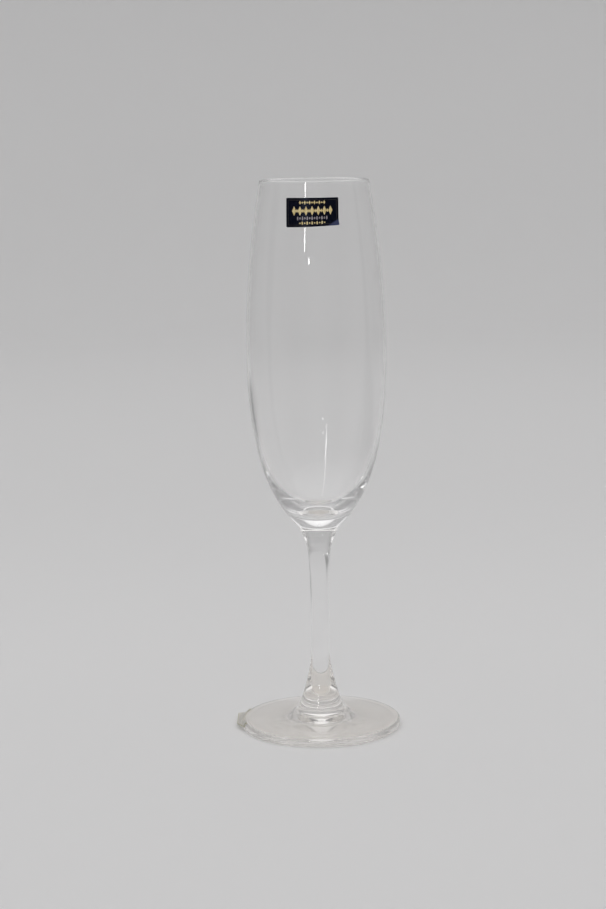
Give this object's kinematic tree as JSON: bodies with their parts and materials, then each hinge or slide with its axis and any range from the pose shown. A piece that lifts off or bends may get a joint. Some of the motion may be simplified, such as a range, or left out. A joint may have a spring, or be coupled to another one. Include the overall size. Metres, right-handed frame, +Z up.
{
  "type": "champagne flute",
  "caption": "Clear stemmed champagne flute with a tall tulip bowl, slim stem and round foot, a small dark label near the rim and a film tab at the foot's edge.",
  "frame": {"origin": "on the table plane, under the stem's axis", "axes": "+Z up along the stem, -Y towards the label, +X to the right of a viewer who faces the label"},
  "size_m": [0.0678, 0.0656, 0.225],
  "materials": {
    "bowl_glass": "clear polished crystal",
    "stem_glass": "clear polished crystal",
    "foot_glass": "clear polished crystal",
    "label_foil": "coated dark navy label with gold print",
    "tab_film": "clear film, faintly beige"
  },
  "bodies": {
    "root": {"bowl": "bowl_glass", "stem": "stem_glass", "foot": "foot_glass", "front_label": "label_foil", "foot_sticker": "tab_film"}
  },
  "joints": []
}
